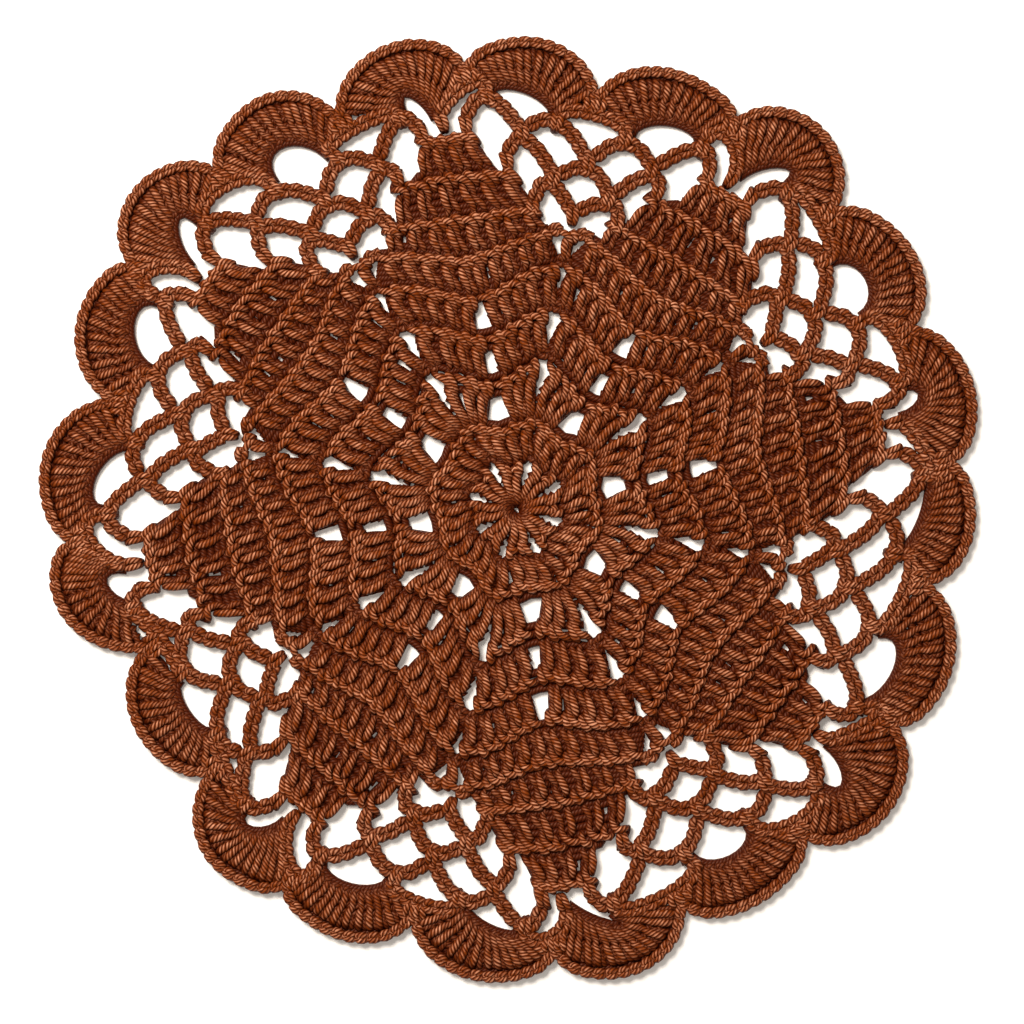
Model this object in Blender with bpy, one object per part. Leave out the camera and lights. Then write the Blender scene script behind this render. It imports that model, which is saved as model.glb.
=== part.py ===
"""A round crocheted lace doily with a scalloped border, lying flat.

It is worked in eight wedges. Each wedge has one solid leaf, between two valleys of open
net. Azimuths are degrees clockwise from +Y, seen from above. Radii run from the middle
of the crochet.
"""
import math

import bmesh
import bpy
from mathutils import Vector
from mathutils.geometry import delaunay_2d_cdt

MM = 0.001

# Heights above the surface that the doily lies on.
CREST_Z = 3.3 * MM      # top of a round's stitches
GROOVE_Z = 2.6 * MM     # between two rounds
NET_Z = 2.5 * MM        # around the gaps of the net
EDGE_Z = 1.9 * MM       # top of the doily's own edge, below the rim's bead

WEDGES = 8
HAND_RADIUS = 53.0 * MM          # from here out the hand-made unevenness is at its full size
CREST_SHARE = 0.45               # where in a round its crest lies, from its inner side
GAP_MARGIN = 0.9 * MM            # relief points keep this far from a gap
NOTCH_TURN = math.radians(36.0)  # where a scallop's oval is cut off at its notches
ARC_POINTS = 12                  # outline points of one scallop
GAP_POINTS = 10                  # outline points of one gap
SMALL_GAP_POINTS = 8
SMALL_GAP_SIZE = 6.0 * MM
GAP_SQUARENESS = 2.6             # exponent of a gap's oval: 2 is round, more is squarer
ARCH_DEPTH = 19.6 * MM           # from a scallop's tip to the middle of its arch gap
ARCH_SHARE = 0.29                # an arch gap's width, as a share of its scallop's width
ARCH_HEIGHT = 6.0 * MM
ARCH_FLARE = -0.2                # an arch is narrower at its outer side
NOTCH_DEPTH = 11.4 * MM          # from a notch to the middle of the gap under it
NOTCH_GAP_SHARE = 0.19           # that gap's width, as a share of a scallop's width
NOTCH_GAP_HEIGHT = 5.6 * MM
NOTCH_GAP_FLARE = 0.1
RELIEF_POINTS = 6                # relief points along one scallop
MERGE_DISTANCE = 0.0001 * MM     # of the triangulation

# The border's relief, from the edge in: the rim's bead, its groove, the shells' stitches.
BORDER_RELIEF = ((1.5 * MM, CREST_Z), (3.6 * MM, GROOVE_Z), (8.0 * MM, 3.0 * MM))

# One row for each wedge: azimuth and outward drift of the valley, then of the leaf after it.
WEDGE_COLUMNS = ("valley_azimuth", "valley_drift", "leaf_azimuth", "leaf_drift")
WEDGE_ROWS = (
    (10.0, -0.8, 33.0, -0.6),
    (54.75, 1.1, 77.5, -1.7),
    (101.5, -3.1, 127.0, -1.7),
    (149.0, 0.0, 173.5, 2.2),
    (194.0, 2.8, 216.0, -1.4),
    (237.5, -3.3, 261.5, 0.0),
    (282.5, 0.3, 305.5, 3.9),
    (326.0, 2.8, 348.5, -0.6),
)

# One row for each round: outer radius at the leaves and at the valleys, in mm, the share
# of the wedge that it fills, about the leaf's middle, and its relief points in a wedge.
# The first row is the ring that the first round is worked into.
ROUND_COLUMNS = ("leaf_radius", "valley_radius", "leaf_share", "points")
ROUND_ROWS = (
    (3.3, 3.3, 1.0, 0),
    (12.6, 12.6, 1.0, 3),
    (24.0, 26.5, 1.0, 4),
    (35.8, 43.5, 1.0, 6),
    (48.3, 57.5, 1.0, 7),
    (60.5, 69.5, 1.0, 8),
    (72.5, 79.5, 1.0, 9),
    (84.5, 84.5, 0.6, 6),
    (96.5, 96.5, 0.38, 4),
    (107.5, 107.5, 0.14, 3),
)

# One row for each gap of a wedge: its place from the valley (0) to the leaf (1, or -1 for
# the leaf before it), its middle's radius and its size in mm, how much wider it is at its
# outer side, and how far its long axis leans outward, in degrees.
GAP_COLUMNS = ("place", "radius", "width", "height", "flare", "lean")
GAP_ROWS = (
    (1.0, 27.2, 6.0, 6.6, 0.0, 0.0),
    (0.0, 39.4, 4.0, 5.2, 0.5, 0.0),
    (1.0, 40.5, 4.0, 5.8, 0.3, 0.0),
    (0.0, 52.8, 4.4, 5.6, 0.5, 0.0),
    (1.0, 53.6, 4.5, 6.0, 0.3, 0.0),
    (-0.245, 85.3, 7.3, 4.4, 0.1, 0.0),
    (0.26, 83.0, 8.0, 5.1, 0.1, -12.0),
    (-0.46, 95.0, 8.9, 6.4, 0.1, -20.0),
    (0.02, 90.7, 9.3, 7.0, 0.1, 0.0),
    (0.48, 92.1, 8.9, 7.9, 0.1, 15.0),
    (-0.69, 105.2, 9.6, 6.4, 0.1, -28.0),
    (-0.23, 100.6, 10.2, 6.8, 0.1, -22.0),
    (0.235, 100.0, 10.2, 7.2, 0.1, 12.0),
    (0.73, 104.0, 10.2, 7.4, 0.1, 30.0),
)

# One row for each scallop: its tip, and the notch after it. Azimuths in degrees, radii in mm.
SCALLOP_COLUMNS = ("tip_azimuth", "tip_radius", "notch_azimuth", "notch_radius")
SCALLOP_ROWS = (
    (1.0, 131.6, 10.75, 119.0),
    (21.0, 130.2, 29.5, 126.0),
    (37.75, 136.1, 46.75, 123.2),
    (56.75, 131.9, 65.5, 122.4),
    (75.0, 131.9, 84.25, 123.8),
    (91.5, 128.0, 100.75, 118.2),
    (112.0, 129.9, 120.25, 123.8),
    (130.0, 134.7, 139.25, 124.6),
    (148.5, 130.2, 157.75, 123.2),
    (167.0, 135.2, 175.5, 128.0),
    (183.75, 133.6, 194.5, 121.8),
    (204.0, 131.6, 211.75, 127.4),
    (219.5, 132.7, 229.25, 116.8),
    (239.0, 124.6, 249.0, 114.0),
    (260.0, 133.3, 265.5, 128.0),
    (274.0, 134.7, 284.5, 120.4),
    (295.0, 135.0, 302.0, 130.2),
    (309.5, 140.0, 318.0, 128.8),
    (326.5, 136.1, 335.0, 122.4),
    (345.0, 134.7, 353.0, 126.0),
)


def table(columns, rows):
    """Return the rows as dictionaries, keyed by column name."""
    return [dict(zip(columns, row)) for row in rows]


WEDGE_TABLE = table(WEDGE_COLUMNS, WEDGE_ROWS)
ROUND_TABLE = table(ROUND_COLUMNS, ROUND_ROWS)
GAP_TABLE = table(GAP_COLUMNS, GAP_ROWS)
SCALLOP_TABLE = table(SCALLOP_COLUMNS, SCALLOP_ROWS)


def mix(first, second, share):
    """Go from the first number to the second."""
    return first + (second - first) * share


def polar(azimuth, radius):
    """Return the point at this azimuth, in degrees, and this radius."""
    angle = math.radians(azimuth)
    return Vector((radius * math.sin(angle), radius * math.cos(angle)))


def axis_at(step):
    """Return azimuth and drift at a half-wedge step: even is a valley, odd is a leaf."""
    wedge = WEDGE_TABLE[(step // 2) % WEDGES]
    turns = (step // 2) // WEDGES
    kind = "leaf" if step % 2 else "valley"
    return wedge[kind + "_azimuth"] + 360.0 * turns, wedge[kind + "_drift"]


def hand_made(wedge, place, radius):
    """Place a stitch of the even pattern where the uneven, hand-made one has it."""
    step = 2.0 * wedge + place
    low = math.floor(step)
    azimuth_low, drift_low = axis_at(low)
    azimuth_high, drift_high = axis_at(low + 1)
    if azimuth_high < azimuth_low:
        azimuth_high += 360.0
    azimuth = mix(azimuth_low, azimuth_high, step - low)
    drift = mix(drift_low, drift_high, step - low) * MM
    return polar(azimuth, radius + drift * min(1.0, radius / HAND_RADIUS))


def scallop_arc(start, tip, end, inset, count):
    """Return points along one scallop, from its first notch on, a part of an oval."""
    widest = math.cos(NOTCH_TURN)
    lowest = math.sin(NOTCH_TURN)
    points = []
    for index in range(count):
        turn = mix(NOTCH_TURN, math.pi - NOTCH_TURN, index / count)
        across = -math.cos(turn) / widest
        lift = (math.sin(turn) - lowest) / (1.0 - lowest)
        side = start if across < 0.0 else end
        azimuth = mix(tip[0], side[0], abs(across))
        points.append(polar(azimuth, mix(side[1], tip[1], lift) * MM - inset))
    return points


def border(inset, count):
    """Return all points of the scalloped border, moved inward by the inset."""
    points = []
    for index, scallop in enumerate(SCALLOP_TABLE):
        before = SCALLOP_TABLE[index - 1]
        start_azimuth = before["notch_azimuth"] - (360.0 if index == 0 else 0.0)
        start = (start_azimuth, before["notch_radius"])
        tip = (scallop["tip_azimuth"], scallop["tip_radius"])
        end = (scallop["notch_azimuth"], scallop["notch_radius"])
        points += scallop_arc(start, tip, end, inset, count)
    return points


def gap(middle, width, height, flare, lean):
    """Return a gap as its middle, half its longer side, and its rounded outline."""
    outward = middle.normalized()
    clockwise = Vector((outward.y, -outward.x))
    tilt = math.radians(lean)
    across = clockwise * math.cos(tilt) + outward * math.sin(tilt)
    along = outward * math.cos(tilt) - clockwise * math.sin(tilt)
    count = GAP_POINTS if max(width, height) > SMALL_GAP_SIZE else SMALL_GAP_POINTS
    outline = []
    for index in range(count):
        turn = math.tau * (index + 0.5) / count
        x = math.copysign(abs(math.cos(turn)) ** (2.0 / GAP_SQUARENESS), math.cos(turn))
        y = math.copysign(abs(math.sin(turn)) ** (2.0 / GAP_SQUARENESS), math.sin(turn))
        wider = 1.0 + flare * y
        outline.append(middle + across * (x * wider * width / 2) + along * (y * height / 2))
    return middle, max(width, height) / 2, outline


def wedge_gaps():
    """Return the gaps between clusters of stitches and those of the valleys' net."""
    gaps = []
    for wedge in range(WEDGES):
        for row in GAP_TABLE:
            middle = hand_made(wedge, row["place"], row["radius"] * MM)
            size = (row["width"] * MM, row["height"] * MM)
            gaps.append(gap(middle, *size, row["flare"], row["lean"]))
    return gaps


def border_gaps():
    """Return the arch under each scallop and the smaller gap under each notch."""
    gaps = []
    for index, row in enumerate(SCALLOP_TABLE):
        turn = (row["notch_azimuth"] - SCALLOP_TABLE[index - 1]["notch_azimuth"]) % 360.0
        radius = row["tip_radius"] * MM - ARCH_DEPTH
        width = math.radians(turn) * radius
        arch = polar(row["tip_azimuth"], radius)
        gaps.append(gap(arch, width * ARCH_SHARE, ARCH_HEIGHT, ARCH_FLARE, 0.0))
        radius = row["notch_radius"] * MM - NOTCH_DEPTH
        middle = polar(row["notch_azimuth"], radius)
        gaps.append(gap(middle, width * NOTCH_GAP_SHARE, NOTCH_GAP_HEIGHT, NOTCH_GAP_FLARE, 0.0))
    return gaps


def round_relief():
    """Return the relief points of the rounds: a crest and a groove for each."""
    points = []
    inner = ROUND_TABLE[0]
    for outer in ROUND_TABLE[1:]:
        count = outer["points"]
        for share, height in ((CREST_SHARE, CREST_Z), (1.0, GROOVE_Z)):
            leaf_radius = mix(inner["leaf_radius"], outer["leaf_radius"], share)
            valley_radius = mix(inner["valley_radius"], outer["valley_radius"], share)
            for wedge in range(WEDGES):
                for index in range(count):
                    place = 1.0 + outer["leaf_share"] * (2.0 * (index + 0.5) / count - 1.0)
                    swell = 0.5 + 0.5 * math.cos(math.pi * place)
                    radius = mix(leaf_radius, valley_radius, swell) * MM
                    points.append((hand_made(wedge, place, radius), height))
        inner = outer
    return points


def border_relief():
    """Return the relief points of the rim's bead, its groove and the shell stitches."""
    points = []
    for inset, height in BORDER_RELIEF:
        points += [(point, height) for point in border(inset, RELIEF_POINTS)]
    return points


def clear_of_gaps(point, gaps):
    """Tell whether a relief point keeps its margin to every gap."""
    return all((point - middle).length > reach + GAP_MARGIN for middle, reach, _ in gaps)


def fill(points, loops):
    """Return the triangles between the first loop and the others, which are gaps."""
    result = delaunay_2d_cdt(points, [], loops, 1, MERGE_DISTANCE)
    vertices, triangles, sources = result[0], result[2], result[5]
    assert len(vertices) == len(points), "two outlines of the doily cross"
    originals = [origin[0] for origin in result[3]]
    kept = [face for face, source in zip(triangles, sources) if list(source) == [0]]
    return [[originals[index] for index in face] for face in kept]


def doily_mesh():
    """Build the flat solid: relief on top, flat below, and a wall around every outline."""
    gaps = wedge_gaps() + border_gaps()
    edge = border(0.0, ARC_POINTS)[::-1]     # counter-clockwise, like the gaps
    outlines = [edge] + [outline for _, _, outline in gaps]
    corners = [point for outline in outlines for point in outline]
    relief = [item for item in round_relief() + border_relief() if clear_of_gaps(item[0], gaps)]
    middle_x = (min(p.x for p in corners) + max(p.x for p in corners)) / 2
    middle_y = (min(p.y for p in corners) + max(p.y for p in corners)) / 2

    loops = []
    first = 0
    for outline in outlines:
        loops.append(list(range(first, first + len(outline))))
        first += len(outline)
    heights = [EDGE_Z] * len(edge) + [NET_Z] * (len(corners) - len(edge))
    heights += [height for _, height in relief]
    top_points = corners + [point for point, _ in relief]

    mesh = bmesh.new()
    top = []
    for point, height in zip(top_points, heights):
        top.append(mesh.verts.new((point.x - middle_x, point.y - middle_y, height)))
    bottom = [mesh.verts.new((p.x - middle_x, p.y - middle_y, 0.0)) for p in corners]
    for face in fill(top_points, loops):
        mesh.faces.new([top[index] for index in face])
    for face in fill(corners, loops):
        mesh.faces.new([bottom[index] for index in face])
    for loop in loops:
        for here, after in zip(loop, loop[1:] + loop[:1]):
            mesh.faces.new((bottom[here], bottom[after], top[after], top[here]))
    bmesh.ops.recalc_face_normals(mesh, faces=mesh.faces)
    data = bpy.data.meshes.new("doily")
    mesh.to_mesh(data)
    mesh.free()
    return data


def cotton():
    """Return the doily's own material: glossy brown crochet cotton."""
    material = bpy.data.materials.new("brown_cotton")
    material.use_nodes = True
    shader = material.node_tree.nodes["Principled BSDF"]
    shader.inputs["Base Color"].default_value = (0.162, 0.047, 0.0185, 1.0)
    shader.inputs["Roughness"].default_value = 0.6
    shader.inputs["Metallic"].default_value = 0.0
    return material


def main():
    """Clear the scene and build the doily."""
    for old in list(bpy.data.objects):
        bpy.data.objects.remove(old, do_unlink=True)
    doily = bpy.data.objects.new("doily", doily_mesh())
    doily.data.materials.append(cotton())
    bpy.context.collection.objects.link(doily)


main()
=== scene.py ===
"""A round crocheted lace doily, worked stitch by stitch from its chart in plied cotton yarn."""
import math
import random

import bpy
import bmesh
import numpy as np
from mathutils import Color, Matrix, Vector


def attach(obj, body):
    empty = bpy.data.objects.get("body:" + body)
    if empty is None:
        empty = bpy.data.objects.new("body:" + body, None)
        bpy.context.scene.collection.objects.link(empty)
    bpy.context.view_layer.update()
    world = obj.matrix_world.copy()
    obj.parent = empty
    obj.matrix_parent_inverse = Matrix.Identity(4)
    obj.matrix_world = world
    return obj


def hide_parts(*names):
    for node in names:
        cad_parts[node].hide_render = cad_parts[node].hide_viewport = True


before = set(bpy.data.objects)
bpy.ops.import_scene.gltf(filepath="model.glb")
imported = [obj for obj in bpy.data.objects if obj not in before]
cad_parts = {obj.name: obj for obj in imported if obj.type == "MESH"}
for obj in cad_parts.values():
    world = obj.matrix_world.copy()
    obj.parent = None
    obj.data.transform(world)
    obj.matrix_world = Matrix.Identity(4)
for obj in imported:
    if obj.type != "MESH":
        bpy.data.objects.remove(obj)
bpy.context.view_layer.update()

bl_info = {
    "name": "Crocheted Doily",
    "version": (1, 0, 0),
    "blender": (4, 5, 0),
    "location": "3D View > Sidebar > Doily",
    "description": "Builds a round lace doily from its crochet chart",
    "category": "Add Mesh",
}

MM = 0.001

# The layout of the doily.
WEDGES = 8
MIDDLE = (2.97, 0.88)  # mm; the first ring's place in the doily's own box
HEART_RADIUS = 36.0  # mm; inside it the rounds are pulled off the middle
HEART_PULL = (-0.65, -1.1)  # mm
HAND_RADIUS = 53.0  # mm; from here out the unevenness is at its full size
NET_START = 75.0  # mm; from here out the net's turn sets in
NET_FULL = 88.0  # mm; from here out it is at its full size

# The yarn.
YARN_RADIUS = 0.95  # mm
YARN_SIDES = 8
STEP = 1.25  # mm between two rings of a yarn
SHELL_STEP = 1.45  # mm; the same in the border's shells
CORD_STEP = 2.4  # mm; the same in the cords on the back
SMOOTH_STEPS = 6  # of the smooth line between two of its points
BEND_POINTS = 64  # of the line that a chain follows

# The small unevenness of hand work, the same at each run. Across and up are shares of a stitch.
HAND = random.Random(7)
ACROSS_SLIP = 0.06
SWAY = 0.09  # how far a stitch leans, over its height
SHELL_SWAY = 0.18
UP_SLIP = 0.03
LIFT_LOW, LIFT_HIGH = -0.16, 0.08  # mm
WAVER = 0.035  # of each point across
KNOT_SWAY = 0.2
CORD_SLIP = 0.02  # of a cord on the back, up

# The stitches.
FULLNESS = 1.06  # of the yarn in a stitch, where it is slack and swells
FIRST_FAN = 0.25  # how the stitches beside a valley spread in the first round; 1 is evenly
VALLEY_FAN = 0.36  # the same in the other rounds
CHAIN_INSET = 1.2  # mm from a round's edge in to the middle of its short chain
POST_ROUND = 6  # the round with one stitch in the middle of its short chain
POST_FOOT, POST_TOP = 0.05, 0.08  # half that stitch's width, as places in a wedge
NET_FIRST = 7  # the first round that has chain loops of the net
LOOP_BULGE = 1.6  # mm that a loop of the net is fuller than straight lines
RING_POINTS = 12
RING_RADIUS, RING_HEIGHT, RING_THICKNESS = 1.7, 1.0, 0.95  # mm, mm, share of the yarn's

# The cords on the back of the stitches. Levels are shares of a round's height, places are
# shares of a stitch's width.
ON_TABLE = 0.0  # mm; such a cord lies on the table, low enough that the yarn's painted shade makes it dark
BACK_THICKNESS = 1.28
BACK_LEVELS = (0.07, 0.24, 0.41, 0.58, 0.76, 0.93)
OPEN_LEVEL, OPEN_SHARE = BACK_LEVELS[1], 0.35  # this share of the stitches has a slit there
LONG_LEVEL, LONG_SHARE = BACK_LEVELS[2], 0.15  # and this share has a longer one
BARE_LEVEL = 0.72  # the highest level where nothing covers a stitch's top
BACK_PLACES = (0.15, 0.55, 0.93)
FIRST_PLACES, LAST_PLACES = (0.42, 0.93), (0.15, 0.55)  # beside the net, where a cord ends
NEAR_EDGE, FAR_EDGE = 0.04, 1.0  # where it ends in the other rounds

# The border.
ARCH_TOP = 13.5  # mm from a scallop's tip in to the middle of its chain loop
NOTCH_TOP = 7.4  # mm from a notch in to the middle of its chain loop
LOOP_POINTS = 9  # of the round loops under scallops and notches
SHELL_STITCHES = 13
SHELL_INSET = 3.6  # mm from the outline in to the tops of a shell's stitches
TOP_FIRST, TOP_LAST = 0.02, 0.98  # the share of the outline that these tops take up
FOOT_FIRST, FOOT_LAST = 0.03, 0.97  # and the share of the loop that their feet take up
FOOT_SIDE = 0.2  # mm that the feet lie beside the loop's middle
NOTCH_KNOTS = (-0.8, 0.8)  # degrees from a notch to the stitches that tie the shells down
NOTCH_KNOT_INSET = 3.4  # mm from a notch in to their tops
SHELL_LEVELS = (0.14, 0.34, 0.54, 0.74)  # shares of a shell's height, of the cords behind it
SHELL_CORD_HEIGHT = 1.5  # mm
CORD_POINTS = 24  # of the other cords in a scallop
ARCH_CORD_SIDE = 1.6  # mm from the middle of a scallop's loop to the cord beside it
ARCH_CORD_THICKNESS = 1.25
RIM_POINTS = 13  # of the rim in a scallop
RIM_INSET = 1.8  # mm from the outline to the middle of the rim's chain
NOTCH_SINK = 1.8  # mm that the rim dips further at a notch
NOTCH_REACH = 0.125  # the share of a scallop over which it does so
NOTCH_TURN = math.radians(36.0)  # where the arc of a scallop starts
RIM_CORD_INSETS = (3.4, 4.9)  # mm
RIM_CORD_SWAY = 0.2  # mm

# The map that the yarn's finish is baked into: rows of yarn side by side.
BAKE_RADIUS = 0.85  # mm; of the yarn as a row shows it
BAKE_STRETCH = 1.15  # of a row's length
BAKE_MARGIN = 0.04  # of a row's width, on either side

# The yarn's painted shade and painted lustre, and its finish.
SHADE_TOP = 0.0022  # m; yarn at this height or lower gets painted shade, as if in the stitches' shade
SHADE_DEPTH = 0.0014  # m; over this much more height the painted shade gives way to full light
UNDERSIDE = 0.0008  # m; below this height painted light brightens the yarn again, on its underside
SHADE_FLOOR = 0.08  # the least light that the painted shade leaves
PATCH_SCALE = 90.0  # patches of stronger and weaker painted lustre in a metre
LUSTRE_REACH = 0.45  # of the painted lustre on a ply, as a share of half its width
# How much the painted lustre wavers in streaks and in patches
LUSTRE_STREAKS, LUSTRE_PATCHES = 2.4, 0.8
LUSTRE_EDGE = 0.9  # how softly the painted lustre ends
# How the painted shade in the creases between the plies wavers, and how softly it ends.
CREASE_STREAKS, CREASE_EDGE = 0.5, 0.7
ROUGHNESS = 0.60  # in a crease
SMOOTHING = 0.15  # of this on a ply's crown
PLY_RELIEF = 0.0002  # m
STREAK_RELIEF = 0.2  # as a share of the plies'
SPECULAR_LEVEL = 0.16
SPECULAR_TINT = (1.0, 0.70, 0.50, 1.0)

# The stage.
TABLE_SIZE = 3.0  # m; half its side
TABLE_ROUGHNESS = 0.8
TABLE_GLOW = 0.16
WINDOW_PLACE = (-0.52, 0.66, 1.15)  # m
WINDOW_SIZE = 0.6  # m
WINDOW_POWER = 34.5  # W
SKY_STRENGTH = 0.40
SENSOR_WIDTH = 36.0  # mm
CAMERA_PLACE = (0.98, -0.70)  # mm

# One row for each wedge: azimuth and outward drift of the valley, the turn of the net in it,
# then azimuth and drift of the leaf after it.
WEDGE_COLUMNS = ("valley_azimuth", "valley_drift", "net_turn", "leaf_azimuth", "leaf_drift")
WEDGE_ROWS = (
    (10.0, -0.8, 0.5, 33.0, -0.2),
    (54.75, 1.1, 1.4, 77.5, -1.7),
    (101.5, -3.1, 1.2, 127.0, -2.5),
    (149.0, 0.0, -0.5, 173.5, 2.2),
    (194.0, 2.8, -1.0, 216.0, -1.4),
    (237.5, -3.3, 0.2, 261.5, -0.2),
    (282.5, 0.3, 1.7, 305.5, 2.6),
    (326.0, 2.8, 0.8, 348.5, 0.1),
)

# The chart. One row for each round: its edge's radius in mm at the leaf and at the valley,
# its stitches in half a wedge, the places of their tops (0 is the valley, 1 the leaf) and
# of their feet in the round before. Then come how far in mm the lowest cord on the back
# reaches into the valley, up to which share of the round's height such cords do so, and up to
# which share the round is open in the middle of the leaf.
ROUND_COLUMNS = (
    "name", "leaf_radius", "valley_radius", "turn", "stitches",
    "top_first", "top_last", "foot_first", "foot_last", "overhang", "closed_to", "open_to",
)
ROUND_ROWS = (
    ("ring", 3.6, 3.6, 3.5, 0, 0.0, 0.0, 0.0, 0.0, 0.0, 1.0, 0.0),
    ("round_1", 13.4, 17.0, 3.5, 1, 0.33, 1.0, 0.0, 1.0, 2.8, 1.0, 0.0),
    ("round_2", 24.4, 27.5, -1.5, 2, 0.04, 1.0, 0.02, 0.98, 2.0, 0.6, 0.0),
    ("round_3", 37.4, 45.4, 0.0, 3, 0.17, 1.0, 0.02, 0.65, 2.6, 0.6, 0.5),
    ("round_4", 50.2, 58.9, 0.0, 4, 0.175, 0.97, 0.02, 0.87, 1.0, 0.6, 0.5),
    ("round_5", 61.6, 71.6, 0.0, 5, 0.08, 0.98, 0.02, 0.87, 2.0, 0.6, 0.6),
    ("round_6", 73.0, 80.2, 0.0, 5, 0.205, 1.0, 0.15, 1.0, 2.8, 0.7, 0.0),
    ("round_7", 84.5, 84.5, 0.0, 4, 0.35, 1.0, 0.23, 1.0, 0.0, 1.0, 0.0),
    ("round_8", 96.5, 96.5, 0.0, 3, 0.57, 1.0, 0.35, 1.0, 0.0, 1.0, 0.0),
    ("round_9", 107.5, 107.5, 0.0, 2, 0.84, 1.0, 0.70, 1.0, 0.0, 1.0, 0.0),
)

# The chain loops of the net. One row for each loop of a valley: the round it belongs to, the
# places and radii of its two ends and of its top.
LOOP_COLUMNS = (
    "round", "start_place", "start_radius", "top_place", "top_radius", "end_place", "end_radius",
)
LOOP_ROWS = (
    (7, -0.36, 85.4, -0.27, 91.6, -0.03, 85.0),
    (7, 0.02, 84.4, 0.30, 88.4, 0.38, 85.2),
    (8, -0.58, 98.4, -0.46, 103.4, -0.22, 94.2),
    (8, -0.18, 93.4, 0.06, 96.6, 0.24, 91.2),
    (8, 0.28, 91.2, 0.49, 99.8, 0.58, 98.2),
    (9, -0.84, 109.4, -0.70, 115.2, -0.48, 106.4),
    (9, -0.44, 106.2, -0.22, 108.2, 0.02, 99.8),
    (9, 0.06, 99.8, 0.25, 106.2, 0.46, 102.8),
    (9, 0.50, 102.8, 0.73, 112.4, 0.84, 108.8),
)

# One row for each scallop: its tip, and the notch after it. Azimuths in degrees, radii in mm.
SCALLOP_COLUMNS = ("tip_azimuth", "tip_radius", "notch_azimuth", "notch_radius")
SCALLOP_ROWS = (
    (1.0, 131.6, 10.75, 119.0),
    (21.0, 130.2, 29.5, 126.0),
    (37.75, 136.1, 46.75, 123.2),
    (56.75, 131.9, 65.5, 122.4),
    (75.0, 131.9, 84.25, 123.8),
    (91.5, 128.0, 100.75, 118.2),
    (112.0, 129.9, 120.25, 123.8),
    (130.0, 134.7, 139.25, 124.6),
    (148.5, 130.2, 157.75, 123.2),
    (167.0, 135.2, 175.5, 128.0),
    (183.75, 133.6, 194.5, 121.8),
    (204.0, 131.6, 211.75, 127.4),
    (219.5, 132.7, 229.25, 116.8),
    (239.0, 124.6, 249.0, 114.0),
    (260.0, 133.3, 265.5, 128.0),
    (274.0, 134.7, 284.5, 120.4),
    (295.0, 135.0, 302.0, 130.2),
    (309.5, 140.0, 318.0, 128.8),
    (326.5, 136.1, 335.0, 122.4),
    (345.0, 134.7, 353.0, 126.0),
)

# The stitches that tie the last net round down: the place of each top in a wedge, and its
# radius in mm.
JOINT_COLUMNS = ("place", "radius")
JOINT_ROWS = (
    (-0.69, 116.8),
    (-0.22, 110.2),
    (0.245, 109.0),
    (0.73, 114.2),
    (1.0, 111.0),
)

# A double crochet, from its start at the stitch before it. Across runs from 0 to 1 over the
# stitch's width and up from 0 to 1 over its height; height is in mm, and thickness is a
# share of the yarn's.
STITCH_COLUMNS = ("across", "up", "height", "thickness")
STITCH_ROWS = (
    (-0.10, 0.80, 1.5, 0.92),
    (0.03, 0.76, 2.4, 1.00),
    (0.22, 0.75, 2.9, 1.06),
    (0.42, 0.73, 3.0, 1.08),
    (0.61, 0.66, 2.8, 1.06),
    (0.75, 0.54, 2.4, 1.02),
    (0.79, 0.40, 2.0, 0.98),
    (0.73, 0.29, 1.8, 0.96),
    (0.80, 0.19, 2.15, 0.98),
    (0.91, 0.09, 2.4, 0.98),
    (0.99, -0.02, 2.1, 0.94),
    (1.02, -0.10, 1.4, 0.88),
    (0.88, -0.13, 0.95, 0.90),
    (0.66, 0.06, 0.95, 0.92),
    (0.55, 0.34, 0.95, 0.95),
    (0.42, 0.56, 1.4, 0.92),
    (0.36, 0.56, 2.1, 1.00),
    (0.38, 0.42, 2.8, 1.12),
    (0.43, 0.28, 2.95, 1.16),
    (0.51, 0.15, 2.65, 1.10),
    (0.57, 0.03, 2.2, 1.00),
    (0.55, -0.06, 2.0, 0.94),
    (0.45, -0.12, 1.8, 0.92),
    (0.38, -0.18, 1.2, 0.90),
    (0.46, -0.20, 0.95, 0.88),
    (0.74, -0.10, 0.95, 0.90),
    (0.92, 0.15, 0.95, 0.92),
    (0.84, 0.50, 0.95, 0.92),
    (0.66, 0.73, 1.3, 0.90),
    (0.65, 0.82, 2.1, 0.96),
    (0.79, 0.83, 2.8, 1.04),
    (0.94, 0.77, 3.0, 1.06),
    (1.05, 0.66, 2.7, 1.02),
    (1.08, 0.54, 2.0, 0.94),
    (1.01, 0.50, 1.1, 0.90),
    (0.93, 0.66, 1.0, 0.90),
)

# A short stitch of the border's shells, with the same columns.
SHELL_ROWS = (
    (-0.10, 0.92, 1.1, 0.85),
    (0.00, 0.98, 1.8, 0.86),
    (0.07, 0.88, 2.0, 0.90),
    (0.13, 0.72, 1.9, 0.90),
    (0.17, 0.56, 1.6, 0.86),
    (0.32, 0.55, 1.0, 0.86),
    (0.44, 0.80, 1.0, 0.90),
    (0.50, 0.97, 1.6, 0.95),
    (0.56, 0.94, 2.1, 1.06),
    (0.58, 0.80, 2.6, 1.14),
    (0.56, 0.64, 2.6, 1.12),
    (0.64, 0.51, 2.5, 1.00),
    (0.40, 0.41, 2.3, 0.97),
    (0.54, 0.27, 2.4, 1.00),
    (0.64, 0.14, 2.5, 1.00),
    (0.72, 0.02, 2.0, 0.95),
    (0.76, -0.08, 1.5, 0.90),
    (0.66, -0.12, 0.95, 0.90),
    (0.36, -0.09, 1.2, 0.90),
    (0.20, -0.02, 1.8, 0.90),
    (0.19, 0.10, 2.0, 0.90),
    (0.29, 0.21, 1.6, 0.86),
    (0.55, 0.26, 0.95, 0.86),
    (0.93, 0.40, 0.95, 0.86),
    (0.98, 0.72, 0.95, 0.86),
)

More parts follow.
